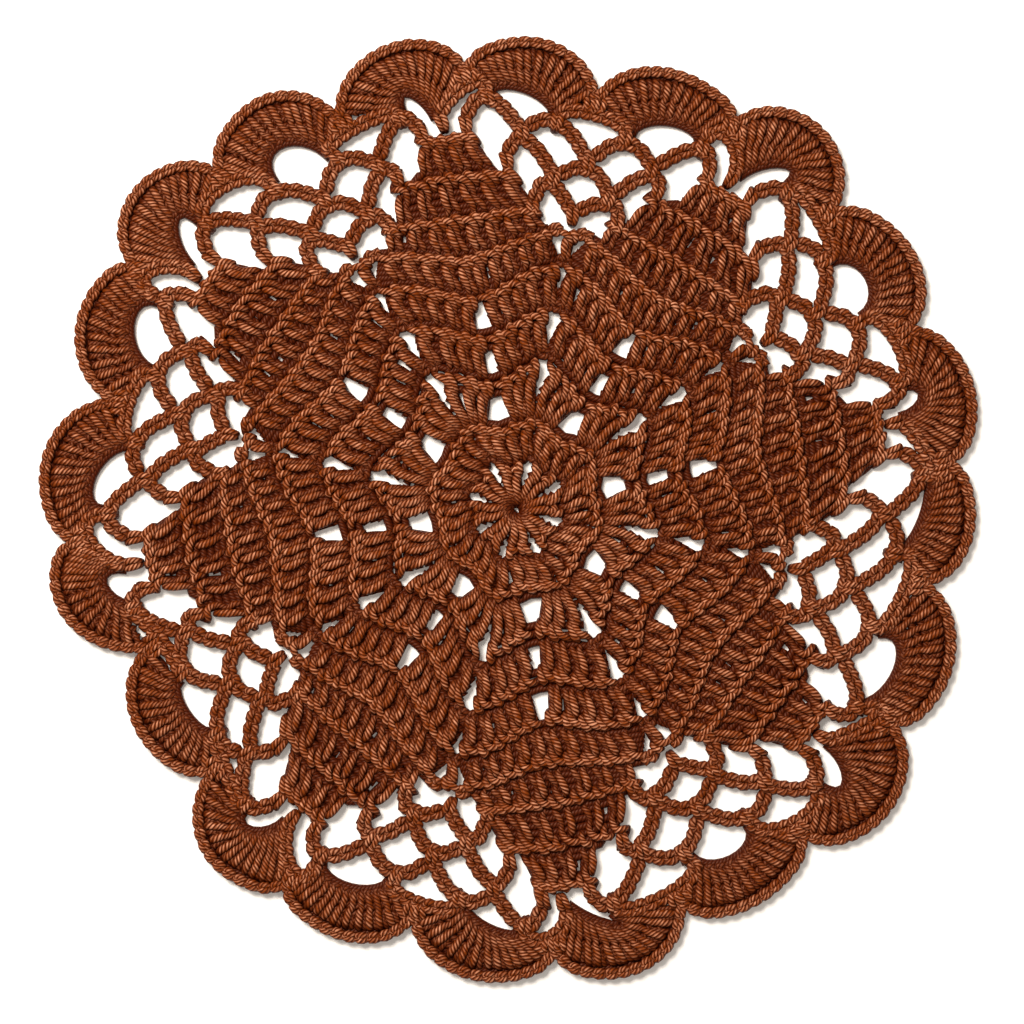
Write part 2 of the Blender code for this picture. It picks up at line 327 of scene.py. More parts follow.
# The chains: the length of a stitch and its lift in mm, and its spread and fullness as shares
# of the stitch below.
CHAIN_COLUMNS = ("kind", "pitch", "lift", "spread", "fullness")
CHAIN_ROWS = (
    ("low", 2.6, -0.7, 1.0, 1.0),
    ("short", 2.6, 0.0, 1.0, 1.0),
    ("loop", 3.2, -0.15, 1.1, 1.05),
    ("arch", 3.2, -0.7, 0.8, 0.9),
    ("notch", 3.2, 0.0, 1.1, 1.05),
    ("rim", 3.5, 0.2, 0.7, 0.84),
)

# One stitch of a chain. Along runs from 0 to 1 over the stitch's length; across and height
# are in mm.
LINK_COLUMNS = ("along", "across", "height", "thickness")
LINK_ROWS = (
    (0.00, 0.0, 1.1, 1.00),
    (0.20, 0.3, 1.7, 1.05),
    (0.45, 0.90, 2.2, 1.20),
    (0.80, 1.08, 2.5, 1.25),
    (1.12, 0.90, 2.4, 1.18),
    (1.32, 0.0, 2.0, 1.05),
    (1.12, -0.90, 2.4, 1.18),
    (0.80, -1.08, 2.5, 1.25),
    (0.45, -0.90, 2.2, 1.20),
    (0.20, -0.3, 1.7, 1.05),
    (0.60, 0.0, 1.2, 1.2),
)

# The yarn end: its place on the doily and height in mm, and its thickness.
END_COLUMNS = ("x", "y", "height", "thickness")
END_ROWS = (
    (6.6, -112.4, 1.6, 1.00),
    (6.0, -110.4, 2.2, 1.30),
    (5.7, -108.2, 2.5, 1.75),
    (5.4, -106.2, 2.2, 1.60),
    (5.1, -104.6, 1.7, 0.90),
)

# A single crochet over the chain below it, from its upper left corner. All in mm but the
# thickness; along runs round the doily and up runs outward.
KNOT_COLUMNS = ("along", "up", "height", "thickness")
KNOT_ROWS = (
    (-1.3, 0.5, 1.8, 0.95),
    (-1.0, -0.3, 2.7, 1.00),
    (-0.9, -1.6, 3.0, 1.03),
    (-0.6, -3.1, 2.6, 1.00),
    (-0.4, -4.2, 1.6, 0.95),
    (-0.2, -3.4, 0.95, 0.95),
    (0.0, -1.8, 0.95, 0.95),
    (0.1, -0.2, 1.4, 0.95),
    (0.6, 0.5, 2.3, 0.95),
    (1.0, -0.4, 2.9, 1.00),
    (1.1, -1.8, 3.0, 1.03),
    (0.8, -3.2, 2.6, 1.00),
    (0.5, -4.2, 1.6, 0.95),
    (0.6, -3.2, 0.95, 0.95),
    (1.1, -1.0, 0.95, 0.95),
    (1.4, 0.5, 1.4, 0.95),
)


def table(columns, rows):
    """Return the rows as dictionaries, keyed by column name."""
    return [dict(zip(columns, row)) for row in rows]


WEDGE_TABLE = table(WEDGE_COLUMNS, WEDGE_ROWS)
ROUND_TABLE = table(ROUND_COLUMNS, ROUND_ROWS)
LOOP_TABLE = table(LOOP_COLUMNS, LOOP_ROWS)
SCALLOP_TABLE = table(SCALLOP_COLUMNS, SCALLOP_ROWS)
JOINT_TABLE = table(JOINT_COLUMNS, JOINT_ROWS)
STITCH_TABLE = table(STITCH_COLUMNS, STITCH_ROWS)
SHELL_TABLE = table(STITCH_COLUMNS, SHELL_ROWS)
CHAINS = {row["kind"]: row for row in table(CHAIN_COLUMNS, CHAIN_ROWS)}
LINK_TABLE = table(LINK_COLUMNS, LINK_ROWS)
KNOT_TABLE = table(KNOT_COLUMNS, KNOT_ROWS)
END_TABLE = table(END_COLUMNS, END_ROWS)


# ---- the chart laid out

def mix(first, second, share):
    """Go from the first value to the second."""
    return first + (second - first) * share


def polar(azimuth, radius):
    """Return the point in mm at this azimuth, in degrees, and this radius."""
    angle = math.radians(azimuth)
    return np.array((radius * math.sin(angle), radius * math.cos(angle)))


def lengths_of(line):
    """Return how far along a line each of its points is."""
    steps = np.linalg.norm(np.diff(line, axis=0), axis=1)
    return np.concatenate(((0.0,), np.cumsum(steps)))


def points_at(marks, scale, line):
    """Return the points of a line at these marks of its scale."""
    columns = [np.interp(marks, scale, line[:, axis]) for axis in range(line.shape[1])]
    return np.stack(columns, axis=-1)


def axis_at(step):
    """Return azimuth and drift at a half-wedge step: even is a valley, odd is a leaf."""
    wedge = WEDGE_TABLE[(step // 2) % WEDGES]
    turns = (step // 2) // WEDGES
    kind = "leaf" if step % 2 else "valley"
    return wedge[kind + "_azimuth"] + 360.0 * turns, wedge[kind + "_drift"]


def hand_made(wedge, place, radius):
    """Place a stitch of the even pattern where the uneven, hand-made one has it."""
    step = 2.0 * wedge + place
    low = math.floor(step)
    azimuth_low, drift_low = axis_at(low)
    azimuth_high, drift_high = axis_at(low + 1)
    drift = mix(drift_low, drift_high, step - low)
    azimuth = mix(azimuth_low, azimuth_high, step - low)
    valley = round(step / 2.0)
    apart = step - 2.0 * valley
    reach = min(1.0, max(0.0, (radius - NET_START) / (NET_FULL - NET_START)))
    azimuth += WEDGE_TABLE[valley % WEDGES]["net_turn"] * (1.0 - apart * apart) * reach
    pull = max(0.0, 1.0 - radius / HEART_RADIUS)
    point = polar(azimuth, radius + drift * min(1.0, radius / HAND_RADIUS))
    return point + np.array(HEART_PULL) * pull


def edge_radius(number, place):
    """Return the radius of a round's outer edge at this place of a wedge."""
    row = ROUND_TABLE[number]
    swell = 0.5 + 0.5 * math.cos(math.pi * place)
    return mix(row["leaf_radius"], row["valley_radius"], swell)


def on_edge(number, wedge, place):
    """Return the point of a round's outer edge at this place of a wedge."""
    point = hand_made(wedge, place, edge_radius(number, place))
    turn = math.radians(ROUND_TABLE[number]["turn"])
    along = np.array((point[1], -point[0]))
    return point * math.cos(turn) + along * math.sin(turn)


def stitch_cells(number, wedge):
    """Return the corners of the stitches of one round in one wedge, in working order.

    Each is foot left, foot right, top left and top right.
    """
    row = ROUND_TABLE[number]
    count = row["stitches"]
    shares = [index / count for index in range(count + 1)]
    feet = [mix(row["foot_first"], row["foot_last"], share) for share in shares]
    tops = [mix(row["top_first"], row["top_last"], share) for share in shares]
    spans = list(zip(feet, feet[1:], tops, tops[1:]))
    spans += [(2.0 - b, 2.0 - a, 2.0 - d, 2.0 - c) for a, b, c, d in reversed(spans)]
    rounds_below = (1, 1, 0, 0)
    return [
        [on_edge(number - below, wedge, place) for below, place in zip(rounds_below, span)]
        for span in spans
    ]


# ---- yarn paths

class Strand:
    """A length of yarn: points that it passes through, in mm, and its thickness there.

    It lies on the table at its lowest and doesn't sink into it.
    """

    def __init__(self, closed=False, step=STEP):
        self.points = []
        self.closed = closed
        self.step = step

    def add(self, place, height, thickness):
        """Lead the yarn through one more point."""
        self.points.append((place[0], place[1], height, thickness))

    def smooth(self):
        """Return the yarn's middle line with even steps, as rows of x, y, z, thickness."""
        knots = np.array(self.points)
        if self.closed:
            knots = np.concatenate((knots[-1:], knots, knots[:2]))
        else:
            first = 2.0 * knots[:1] - knots[1:2]
            last = 2.0 * knots[-1:] - knots[-2:-1]
            knots = np.concatenate((first, knots, last))
        before, here, after, beyond = knots[:-3], knots[1:-2], knots[2:-1], knots[3:]
        parts = []
        for share in np.linspace(0.0, 1.0, SMOOTH_STEPS, endpoint=False):
            parts.append(0.5 * (
                2.0 * here + (after - before) * share
                + (2.0 * before - 5.0 * here + 4.0 * after - beyond) * share ** 2
                + (3.0 * here - before - 3.0 * after + beyond) * share ** 3
            ))
        fine = np.stack(parts, axis=1).reshape(-1, 4)
        fine = np.concatenate((fine, knots[-2:-1]))
        length = lengths_of(fine[:, :3])
        count = max(3, round(length[-1] / self.step))
        marks = np.linspace(0.0, length[-1], count + 1)
        if self.closed:
            marks = marks[:-1]
        line = points_at(marks, length, fine)
        line[:, 2] = np.maximum(line[:, 2], YARN_RADIUS * line[:, 3])
        return line


def cell_point(cell, across, up, rise=0.0, fan=1.0):
    """Return a point of a stitch's cell.

    With a fan over 1 the cell spreads sideways soon after its foot, and with one under 1 only
    near its top.
    """
    foot_left, foot_right, top_left, top_right = cell
    outward = (top_left + top_right) / np.linalg.norm(top_left + top_right)
    foot = mix(foot_left, foot_right, across)
    whole = mix(top_left, top_right, across) - foot
    straight = outward * whole.dot(outward)
    sideways = 1.0 - (1.0 - min(up, 1.0)) ** fan if up > 0.0 else up * 0.5
    return foot + straight * (up + rise) + (whole - straight) * sideways


def work_stitch(strand, cell, fan=1.0, rows=STITCH_TABLE, sway=SWAY):
    """Work one stitch into its cell, no two quite alike."""
    shift = HAND.uniform(-ACROSS_SLIP, ACROSS_SLIP)
    lean = HAND.uniform(-sway, sway)
    rise = HAND.uniform(-UP_SLIP, UP_SLIP)
    lift = HAND.uniform(LIFT_LOW, LIFT_HIGH)
    for row in rows:
        waver = HAND.uniform(-WAVER, WAVER)
        across = row["across"] + shift + lean * row["up"] + waver
        place = cell_point(cell, across, row["up"], rise, fan)
        strand.add(place, row["height"] + lift, row["thickness"] * FULLNESS)


def work_knot(strand, place):
    """Work one single crochet whose top is at this place, over the chain below it."""
    outward = place / np.linalg.norm(place)
    clockwise = np.array((outward[1], -outward[0]))
    lean = HAND.uniform(-KNOT_SWAY, KNOT_SWAY)
    for row in KNOT_TABLE:
        along = clockwise * (row["along"] + lean * row["up"])
        strand.add(place + along + outward * row["up"], row["height"], row["thickness"])


def bend(points, count=BEND_POINTS):
    """Return even points of the smooth line through a few points, its sides and its length."""
    line = Strand()
    for point in points:
        line.add(point, 0.0, 1.0)
    fine = line.smooth()[:, :2]
    length = lengths_of(fine)
    even = points_at(np.linspace(0.0, length[-1], count), length, fine)
    way = np.gradient(even, axis=0)
    way /= np.linalg.norm(way, axis=1)[:, None]
    side = np.stack((-way[:, 1], way[:, 0]), axis=1)
    return even, side, length[-1]


def work_chain(strand, points, kind):
    """Work a chain of stitches along the line through a few points."""
    chain = CHAINS[kind]
    fine, side, length = bend(points)
    count = max(1, round(length / chain["pitch"]))
    marks = np.linspace(0.0, 1.0, len(fine))
    for index in range(count):
        for row in LINK_TABLE:
            mark = min(1.0, (index + row["along"]) / count)
            out = points_at(mark, marks, side) * row["across"] * chain["spread"]
            thickness = row["thickness"] * chain["fullness"]
            place = points_at(mark, marks, fine) + out
            strand.add(place, row["height"] + chain["lift"], thickness)


def short_chain(strand, number, wedge, first, last):
    """Work the short chain of a round between two places of its edge."""
    points = []
    for place in (first, mix(first, last, 0.5), last):
        point = on_edge(number, wedge, place)
        points.append(point * (1.0 - CHAIN_INSET / np.linalg.norm(point)))
    work_chain(strand, points, "low" if number < POST_ROUND else "short")


def net_point(wedge, row, which):
    """Return the start, top or end of a loop of the net."""
    return hand_made(wedge, row[which + "_place"], row[which + "_radius"])


def work_loops(strand, number, wedge):
    """Work the chain loops of the net in one valley, with a knot at each of their ends."""
    loops = [row for row in LOOP_TABLE if row["round"] == number]
    work_knot(strand, net_point(wedge, loops[0], "start"))
    for index, row in enumerate(loops):
        start, top, end = [net_point(wedge, row, which) for which in ("start", "top", "end")]
        outward = top / np.linalg.norm(top)
        left = mix(start, top, 0.5) + outward * LOOP_BULGE
        right = mix(top, end, 0.5) + outward * LOOP_BULGE
        work_chain(strand, (start, left, top, right, end), "loop")
        if index < len(loops) - 1:
            middle = mix(row["end_place"], loops[index + 1]["start_place"], 0.5)
            work_knot(strand, hand_made(wedge, middle, row["end_radius"]))
    work_knot(strand, net_point(wedge, loops[-1], "end"))


def cross_valley(strand, number, wedge):
    """Lead a round over the valley that comes before this wedge's leaf."""
    first = ROUND_TABLE[number]["top_first"]
    if number >= NET_FIRST:
        work_loops(strand, number, wedge)
    elif number == POST_ROUND:
        feet = [on_edge(number - 1, wedge, place) for place in (-POST_FOOT, POST_FOOT)]
        tops = [on_edge(number, wedge, place) for place in (-POST_TOP, POST_TOP)]
        short_chain(strand, number, wedge, -first, -POST_TOP)
        work_stitch(strand, feet + tops)
        short_chain(strand, number, wedge, POST_TOP, first)
    else:
        short_chain(strand, number, wedge, -first, first)


def fan_of(number, index, count):
    """Return how a stitch of a round spreads: those beside a valley do so only near the top."""
    if index not in (0, count - 1) or number >= NET_FIRST:
        return 1.0
    return FIRST_FAN if number == 1 else VALLEY_FAN


def work_round(number):
    """Work one whole round, closed into a ring."""
    strand = Strand(closed=True)
    for wedge in range(WEDGES):
        cross_valley(strand, number, wedge)
        cells = stitch_cells(number, wedge)
        for index, cell in enumerate(cells):
            work_stitch(strand, cell, fan_of(number, index, len(cells)))
    return strand


def bare_top(number, index, count):
    """Return whether the next round leaves the top of this stitch of a round bare."""
    if number == len(ROUND_TABLE) - 1:
        return True
    row = ROUND_TABLE[number]
    share = (min(index, count - 1 - index) + 0.5) / row["stitches"]
    return mix(row["top_first"], row["top_last"], share) < ROUND_TABLE[number + 1]["foot_first"]


def cord_places(number, cells, index, first, last, level):
    """Return the places across one stitch of the cord that runs from the first to the last."""
    row = ROUND_TABLE[number]
    ends = (0, len(cells) // 2, len(cells))
    width = np.linalg.norm(cells[index][3] - cells[index][2])
    over = row["overhang"] * max(0.0, 1.0 - level / row["closed_to"]) / width
    if number >= NET_FIRST and index == 0:
        return FIRST_PLACES
    if number >= NET_FIRST and index == len(cells) - 1:
        return LAST_PLACES
    if index == first and first in ends:
        return (NEAR_EDGE - (over if first == 0 else 0.0),) + BACK_PLACES
    if index == last - 1 and last in ends:
        return BACK_PLACES + (FAR_EDGE + (over if last == len(cells) else 0.0),)
    return BACK_PLACES


def back_cord(number, cells, first, last, level):
    """Return one cord on the back of a few stitches of a round."""
    strand = Strand(step=CORD_STEP)
    for index in range(first, last):
        fan = fan_of(number, index, len(cells))
        up = min(level, BARE_LEVEL) if bare_top(number, index, len(cells)) else level
        for across in cord_places(number, cells, index, first, last, level):
            slip = HAND.uniform(-CORD_SLIP, CORD_SLIP)
            place = cell_point(cells[index], across, up + slip, 0.0, fan)
            strand.add(place, ON_TABLE, BACK_THICKNESS)
    return strand


def back_cords(number):
    """Return the cords on the back of a round's stitches.

    The low ones stop where the round opens at the leaf, and at a slit here and there.
    """
    slits = {OPEN_LEVEL: OPEN_SHARE, LONG_LEVEL: LONG_SHARE}
    cords = []
    for wedge in range(WEDGES):
        cells = stitch_cells(number, wedge)
        middle = len(cells) // 2
        chances = [HAND.random() for _ in cells] + [1.0]
        for level in BACK_LEVELS:
            opens = level < ROUND_TABLE[number]["open_to"]
            first = 0
            for index in range(1, len(cells) + 1):
                ends = index == len(cells) or (opens and index == middle)
                if ends or chances[index] < slits.get(level, 0.0):
                    cords.append(back_cord(number, cells, first, index, level))
                    first = index
    return cords


def first_ring():
    """Return the ring of yarn that the first round is worked over."""
    strand = Strand(closed=True)
    for index in range(RING_POINTS):
        place = hand_made(0, 2.0 * WEDGES * index / RING_POINTS, RING_RADIUS)
        strand.add(place, RING_HEIGHT, RING_THICKNESS)
    return strand


# ---- the border

def scallops():
    """Return each scallop as its start notch, tip and end notch, as azimuth and radius."""
    result = []
    for index, row in enumerate(SCALLOP_TABLE):
        before = SCALLOP_TABLE[index - 1]
        azimuth = before["notch_azimuth"] - (360.0 if index == 0 else 0.0)
        start = (azimuth, before["notch_radius"])
        tip = (row["tip_azimuth"], row["tip_radius"])
        end = (row["notch_azimuth"], row["notch_radius"])
        result.append((start, tip, end))
    return result


def scallop_point(scallop, share, inset):
    """Return a point of a scallop's outline, moved in by the inset."""
    start, tip, end = scallop
    lowest = math.sin(NOTCH_TURN)
    turn = mix(NOTCH_TURN, math.pi - NOTCH_TURN, share)
    across = -math.cos(turn) / math.cos(NOTCH_TURN)
    lift = (math.sin(turn) - lowest) / (1.0 - lowest)
    side = start if across < 0.0 else end
    azimuth = mix(tip[0], side[0], abs(across))
    return polar(azimuth, mix(side[1], tip[1], lift) - inset)


def joints():
    """Return the tops of the forty stitches that tie the last net round down, in order.

    Two of them carry each scallop, and the loop under a notch runs from one pair to the next.
    """
    return [
        hand_made(wedge, row["place"], row["radius"])
        for wedge in range(WEDGES) for row in JOINT_TABLE
    ]


def loop_line(left, top, right):
    """Return points of the round loop that rises from the left to the top, and to the right."""
    points = []
    for index in range(LOOP_POINTS):
        turn = math.pi * index / (LOOP_POINTS - 1)
        foot = mix(left, right, 0.5 - 0.5 * math.cos(turn))
        points.append(foot + (top - mix(left, right, 0.5)) * math.sin(turn))
    return points


def arch_line(index):
    """Return the points of the chain loop under a scallop."""
    tip = scallops()[index][1]
    found = joints()
    return loop_line(found[2 * index], polar(tip[0], tip[1] - ARCH_TOP), found[2 * index + 1])


def notch_line(index):
    """Return the points of the chain loop under the notch after a scallop."""
    end = scallops()[index][2]
    found = joints()
    left, right = found[2 * index + 1], found[(2 * index + 2) % len(found)]
    return loop_line(left, polar(end[0], end[1] - NOTCH_TOP), right)


def last_net_round():
    """Work the ring of chain loops that carries the border."""
    strand = Strand(closed=True)
    found = joints()
    for index in range(len(SCALLOP_TABLE)):
        work_knot(strand, found[2 * index])
        work_chain(strand, arch_line(index), "arch")
        work_knot(strand, found[2 * index + 1])
        work_chain(strand, notch_line(index), "notch")
    return strand


def shell_feet(index):
    """Return the feet of a shell's stitches, spread along the loop that carries them."""
    line, side, _ = bend(arch_line(index))
    shares = mix(FOOT_FIRST, FOOT_LAST, np.arange(SHELL_STITCHES + 1) / SHELL_STITCHES)
    return points_at(shares, np.linspace(0.0, 1.0, len(line)), line - FOOT_SIDE * side)


def shell_top(scallop, share):
    """Return the top of a shell's stitch at this share of the shell's width."""
    return scallop_point(scallop, mix(TOP_FIRST, TOP_LAST, share), SHELL_INSET)


def border_round():
    """Work the fans of stitches, and the stitches that tie them down between the scallops."""
    strand = Strand(closed=True, step=SHELL_STEP)
    for index, scallop in enumerate(scallops()):
        feet = shell_feet(index)
        tops = [shell_top(scallop, number / SHELL_STITCHES) for number in range(len(feet))]
        for stitch in range(SHELL_STITCHES):
            after = stitch + 1
            cell = (feet[stitch], feet[after], tops[stitch], tops[after])
            work_stitch(strand, cell, 1.0, SHELL_TABLE, SHELL_SWAY)
        azimuth, radius = scallop[2]
        for turn in NOTCH_KNOTS:
            work_knot(strand, polar(azimuth + turn, radius - NOTCH_KNOT_INSET))
    return strand


def shell_cords():
    """Return the cords on the back of the shells."""
    cords = []
    for index, scallop in enumerate(scallops()):
        feet = shell_feet(index)
        for level in SHELL_LEVELS:
            strand = Strand(step=CORD_STEP)
            for stitch, foot in enumerate(feet):
                top = shell_top(scallop, stitch / SHELL_STITCHES)
                strand.add(mix(foot, top, level), SHELL_CORD_HEIGHT, BACK_THICKNESS)
            cords.append(strand)
    return cords


def arch_cords():
    """Return the cords beside the loops that carry the shells."""
    cords = []
    for index in range(len(SCALLOP_TABLE)):
        line, side, _ = bend(arch_line(index), CORD_POINTS)
        strand = Strand(step=CORD_STEP)
        # They lie on the table, so the yarn's painted shade makes them a dark band under the
        # shells.
        for place in line - side * ARCH_CORD_SIDE:
            strand.add(place, ON_TABLE, ARCH_CORD_THICKNESS)
        cords.append(strand)
    return cords


def yarn_end():
    """Return the short end of yarn that stands up in the net."""
    strand = Strand()
    for row in END_TABLE:
        strand.add((row["x"], row["y"]), row["height"], row["thickness"])
    return strand


def rim():
    """Work the bold chain along the whole scalloped edge."""
    strand = Strand(closed=True)
    for scallop in scallops():
        points = []
        for index in range(RIM_POINTS):
            share = index / (RIM_POINTS - 1)
            nearness = max(0.0, 1.0 - min(share, 1.0 - share) / NOTCH_REACH)
            points.append(scallop_point(scallop, share, RIM_INSET + NOTCH_SINK * nearness))
        work_chain(strand, points, "rim")
    return strand


def rim_cords():
    """Return the cords that lie in the groove under the rim."""
    cords = []
    for inset in RIM_CORD_INSETS:
        strand = Strand(closed=True, step=CORD_STEP)
        for scallop in scallops():
            for index in range(CORD_POINTS):
                sway = RIM_CORD_SWAY if index % 2 else -RIM_CORD_SWAY
                place = scallop_point(scallop, index / CORD_POINTS, inset + sway)
                strand.add(place, YARN_RADIUS, 1.0 + sway)
        cords.append(strand)
    return cords


# ---- yarn into mesh

def yarn_mesh(name, strands, radius):
    """Make round yarn along the strands, with a map of length in mm and turn around."""
    curve = bpy.data.curves.new(name, "CURVE")
    curve.dimensions = "3D"
    curve.bevel_depth = radius
    curve.bevel_resolution = (YARN_SIDES - 4) // 2
    lines = [(strand.smooth(), strand.closed) for strand in strands]
    for line, closed in lines:
        spline = curve.splines.new("POLY")
        spline.points.add(len(line) - 1)
        placed = np.ones((len(line), 4))
        placed[:, :3] = line[:, :3] * MM
        placed[:, 0] += MIDDLE[0] * MM
        placed[:, 1] += MIDDLE[1] * MM
        spline.points.foreach_set("co", placed.ravel())
        spline.points.foreach_set("radius", line[:, 3])
        spline.use_cyclic_u = closed
    carrier = bpy.data.objects.new(name, curve)
    bpy.context.collection.objects.link(carrier)
    carrier_view = carrier.evaluated_get(bpy.context.evaluated_depsgraph_get())
    mesh = bpy.data.meshes.new_from_object(carrier_view)
    bpy.data.objects.remove(carrier, do_unlink=True)
    bpy.data.curves.remove(curve)
    map_yarn(mesh, lines)
    close_ends(mesh)
    mesh.shade_smooth()
    return mesh


def map_yarn(mesh, lines):
    """Give the yarn its map, and the rows that its finish is baked into."""
    own = mesh.uv_layers[0]
    old = np.empty(len(own.data) * 2)
    own.data.foreach_get("uv", old)
    old = old.reshape(-1, 2)
    length = np.empty(len(old))
    begins = np.empty(len(old))
    first = 0
    total = 0.0
    for line, closed in lines:
        ring = np.concatenate((line, line[:1])) if closed else line
        at = lengths_of(ring[:, :3]) + total
        segments = len(ring) - 1
        last = first + segments * YARN_SIDES * 4
        number = np.rint(old[first:last, 0] * segments)
        length[first:last] = np.interp(number, np.arange(len(ring)), at)
        lowest = number.reshape(-1, 4).min(axis=1)
        begins[first:last] = np.repeat(np.interp(lowest, np.arange(len(ring)), at), 4)
        first = last
        total = at[-1] + STEP
    assert first == len(old), "the yarn's faces and its rings differ in number"
    yarn = mesh.uv_layers.new(name="yarn")
    yarn.data.foreach_set("uv", np.stack((length, old[:, 1]), axis=1).ravel())
    row_width = math.tau * BAKE_RADIUS * BAKE_STRETCH
    rows = max(1, round(math.sqrt(total / row_width)))
    row_length = total / rows * 1.0001
    row = np.floor(begins / row_length)
    across = (length - row * row_length) / (row_length + 2.0 * STEP)
    up = (row + BAKE_MARGIN + old[:, 1] * (1.0 - 2.0 * BAKE_MARGIN)) / rows
    baked = mesh.uv_layers.new(name="OFBake")
    baked.data.foreach_set("uv", np.stack((across, up), axis=1).ravel())
    mesh.uv_layers.remove(mesh.uv_layers[0])


def close_ends(mesh):
    """Close the cut ends of the yarn."""
    work = bmesh.new()
    work.from_mesh(mesh)
    edges = [edge for edge in work.edges if edge.is_boundary]
    if edges:
        bmesh.ops.holes_fill(work, edges=edges, sides=YARN_SIDES)
    bmesh.ops.recalc_face_normals(work, faces=work.faces)
    work.to_mesh(mesh)
    work.free()


def yarn_piece(name, strands, settings):
    """Make a piece of the doily from its strands."""
    mesh = yarn_mesh(name, strands, settings.yarn_width / 2.0)
    piece = bpy.data.objects.new(name, mesh)
    bpy.context.collection.objects.link(piece)
    mesh.materials.append(cotton_yarn(settings))
    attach(piece, "root")
    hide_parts("doily")
    return piece


# ---- materials

class Wire:
    """A socket of a shader that can be used in sums."""

    def __init__(self, shader, socket):
        self.shader = shader
        self.socket = socket

    def math(self, operation, *values):
        """Work this value out with others in a Math node."""
        return self.shader.math(operation, self, *values)

    def clamped(self):
        """Keep the value between 0 and 1."""
        return self.math("MAXIMUM", 0.0).math("MINIMUM", 1.0)

    def __add__(self, other):
        return self.math("ADD", other)

    def __mul__(self, other):
        return self.math("MULTIPLY", other)

    def __sub__(self, other):
        return self.math("SUBTRACT", other)

    def __rsub__(self, other):
        return self.shader.math("SUBTRACT", other, self)

    def __truediv__(self, other):
        return self.math("DIVIDE", other)

    def __rtruediv__(self, other):
        return self.shader.math("DIVIDE", other, self)

    __radd__ = __add__
    __rmul__ = __mul__


class Shader:
    """The nodes of one material."""

    def __init__(self, name):
        self.material = bpy.data.materials.new(name)
        self.material.use_nodes = True
        self.tree = self.material.node_tree
        self.surface = self.tree.nodes["Principled BSDF"]

    def node(self, kind, settings=None, inputs=None, output=0):
        """Add a node: its settings first, then its inputs' values or wires."""
        made = self.tree.nodes.new(kind)
        for key, value in (settings or {}).items():
            setattr(made, key, value)
        for key, value in (inputs or {}).items():
            self.put(made.inputs[key], value)
        return Wire(self, made.outputs[output])

    def put(self, socket, value):
        """Set a socket, or wire it."""
        if isinstance(value, Wire):
            self.tree.links.new(value.socket, socket)
        elif isinstance(value, Color):
            socket.default_value = (*value, 1.0)
        else:
            socket.default_value = value

    def math(self, operation, *values):
        """Work values out in a Math node."""
        return self.node("ShaderNodeMath", {"operation": operation}, dict(enumerate(values)))

    def blend(self, share, first, second):
        """Go from the first colour to the second, by the Mix node's own numbered sockets."""
        return self.node("ShaderNodeMix", {"data_type": "RGBA"}, {0: share, 6: first, 7: second}, 2)

    def split(self, vector):
        """Return the three parts of a vector."""
        parts = self.node("ShaderNodeSeparateXYZ", None, {"Vector": vector}).socket.node
        return [Wire(self, output) for output in parts.outputs]

    def noise(self, place, scale):
        """Return soft noise between 0 and 1."""
        values = {"Vector": place, "Scale": scale, "Detail": 2.0}
        return self.node("ShaderNodeTexNoise", None, values)

    def finish(self, values):
        """Set or wire the surface's own sockets."""
        for key, value in values.items():
            self.put(self.surface.inputs[key], value)
        return self.material


def cotton_yarn(settings):
    """Return glossy plied cotton: the plies wind round the yarn, with painted shade in the creases
    between them and a painted lustre on their crowns. Yarn that lies low among the stitches gets
    painted shade, and painted light at the very underside.
    """
    known = bpy.data.materials.get("cotton_yarn")
    if known:
        return known
    shader = Shader("cotton_yarn")
    where = shader.node("ShaderNodeUVMap", {"uv_map": "yarn"})
    along, around, _ = shader.split(where)
    turns = (along / settings.lead + around) * settings.plies
    aside = (turns.math("FRACT") * 2.0 - 1.0).math("ABSOLUTE")
    crown = (1.0 - aside * aside).math("MAXIMUM", 0.0).math("SQRT")
    streak_place = shader.node(
        "ShaderNodeCombineXYZ", None, {"X": turns * 2.0, "Y": along * 0.5, "Z": around * 2.0})
    streak = shader.noise(streak_place, 1.0) - 0.5
    place = shader.node("ShaderNodeTexCoord", None, None, "Object")
    patch = shader.noise(place, PATCH_SCALE) - 0.5
    height = shader.split(place)[2]
    # Painted shade by height: yarn that lies low among the stitches is darkened as if in their
    # shade, and painted light brightens it again at the very underside.
    top = (height - SHADE_TOP) / SHADE_DEPTH
    painted_underside_light = (UNDERSIDE - height) / UNDERSIDE
    painted_light_share = top.math("MAXIMUM", painted_underside_light).clamped()
    uneven = streak * LUSTRE_STREAKS + patch * LUSTRE_PATCHES
    # Painted lustre: a painted highlight along the crown of each ply, only where the painted shade
    # leaves light.
    painted_crown_lustre = ((LUSTRE_REACH - aside + uneven) / LUSTRE_EDGE).clamped()
    # Painted shade: the creases between the plies, and yarn low among the stitches, take the dark
    # shade colour.
    body = ((1.0 - aside + streak * CREASE_STREAKS) / CREASE_EDGE).clamped()
    painted_light_level = SHADE_FLOOR + (1.0 - SHADE_FLOOR) * painted_light_share
    light = shader.blend(painted_crown_lustre * painted_light_share, settings.yarn_colour, settings.painted_lustre_colour)
    colour = shader.blend(body * painted_light_level, settings.painted_shade_colour, light)
    relief = {"Height": crown + streak * STREAK_RELIEF, "Strength": 1.0, "Distance": PLY_RELIEF}
    return shader.finish({
        "Base Color": colour,
        "Roughness": ROUGHNESS - SMOOTHING * crown,
        "Normal": shader.node("ShaderNodeBump", None, relief),
        "Specular IOR Level": SPECULAR_LEVEL,
        "Specular Tint": SPECULAR_TINT,
    })


# ---- settings

def length_setting(name, description, default):
    """Return a setting for a length."""
    return bpy.props.FloatProperty(
        name=name, description=description, default=default, min=0.0005, subtype="DISTANCE",
        unit="LENGTH")


def colour_setting(name, description, default):
    """Return a setting for a colour."""
    return bpy.props.FloatVectorProperty(
        name=name, description=description, default=default, min=0.0, max=1.0, subtype="COLOR")


